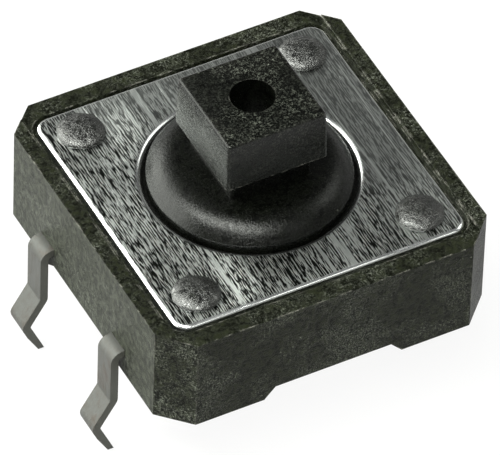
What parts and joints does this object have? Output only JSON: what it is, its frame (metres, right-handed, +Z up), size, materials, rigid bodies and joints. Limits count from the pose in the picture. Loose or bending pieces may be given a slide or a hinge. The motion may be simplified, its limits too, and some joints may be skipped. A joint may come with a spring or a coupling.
{
  "type": "tactile push button switch",
  "caption": "Square board-mounted tactile push button with a steel cover plate, a round plunger with a square drilled head, and kinked leads on both sides.",
  "frame": {"origin": "middle of the board seating plane, which is the underside of the four corner feet", "axes": "+Z up to the actuator head, X across the two sides that the leads leave"},
  "size_m": [0.0142, 0.012, 0.011],
  "materials": {
    "housing_plastic": "matt black moulded thermoplastic, fine speckle",
    "cover_steel": "rolled stainless sheet, grain along Y, bright rolled edges",
    "plunger_plastic": "satin black moulded plastic, fine speckle",
    "dome_steel": "bright spring steel",
    "tinned_brass": "dull tin plating on brass strip"
  },
  "bodies": {
    "housing": {"base_housing": "housing_plastic", "cover_plate": "cover_steel", "snap_dome": "dome_steel", "centre_contact_frame": "tinned_brass", "rim_contact_frame": "tinned_brass"},
    "plunger": {"plunger": "plunger_plastic"}
  },
  "joints": [
    {"name": "plunger_press", "type": "slide", "parent": "housing", "child": "plunger", "axis": [0, 0, -1], "range_m": [0, 0.0003], "stiffness_N_per_m": 2000, "springref_m": -0.0004, "deforming": ["snap_dome"]}
  ]
}
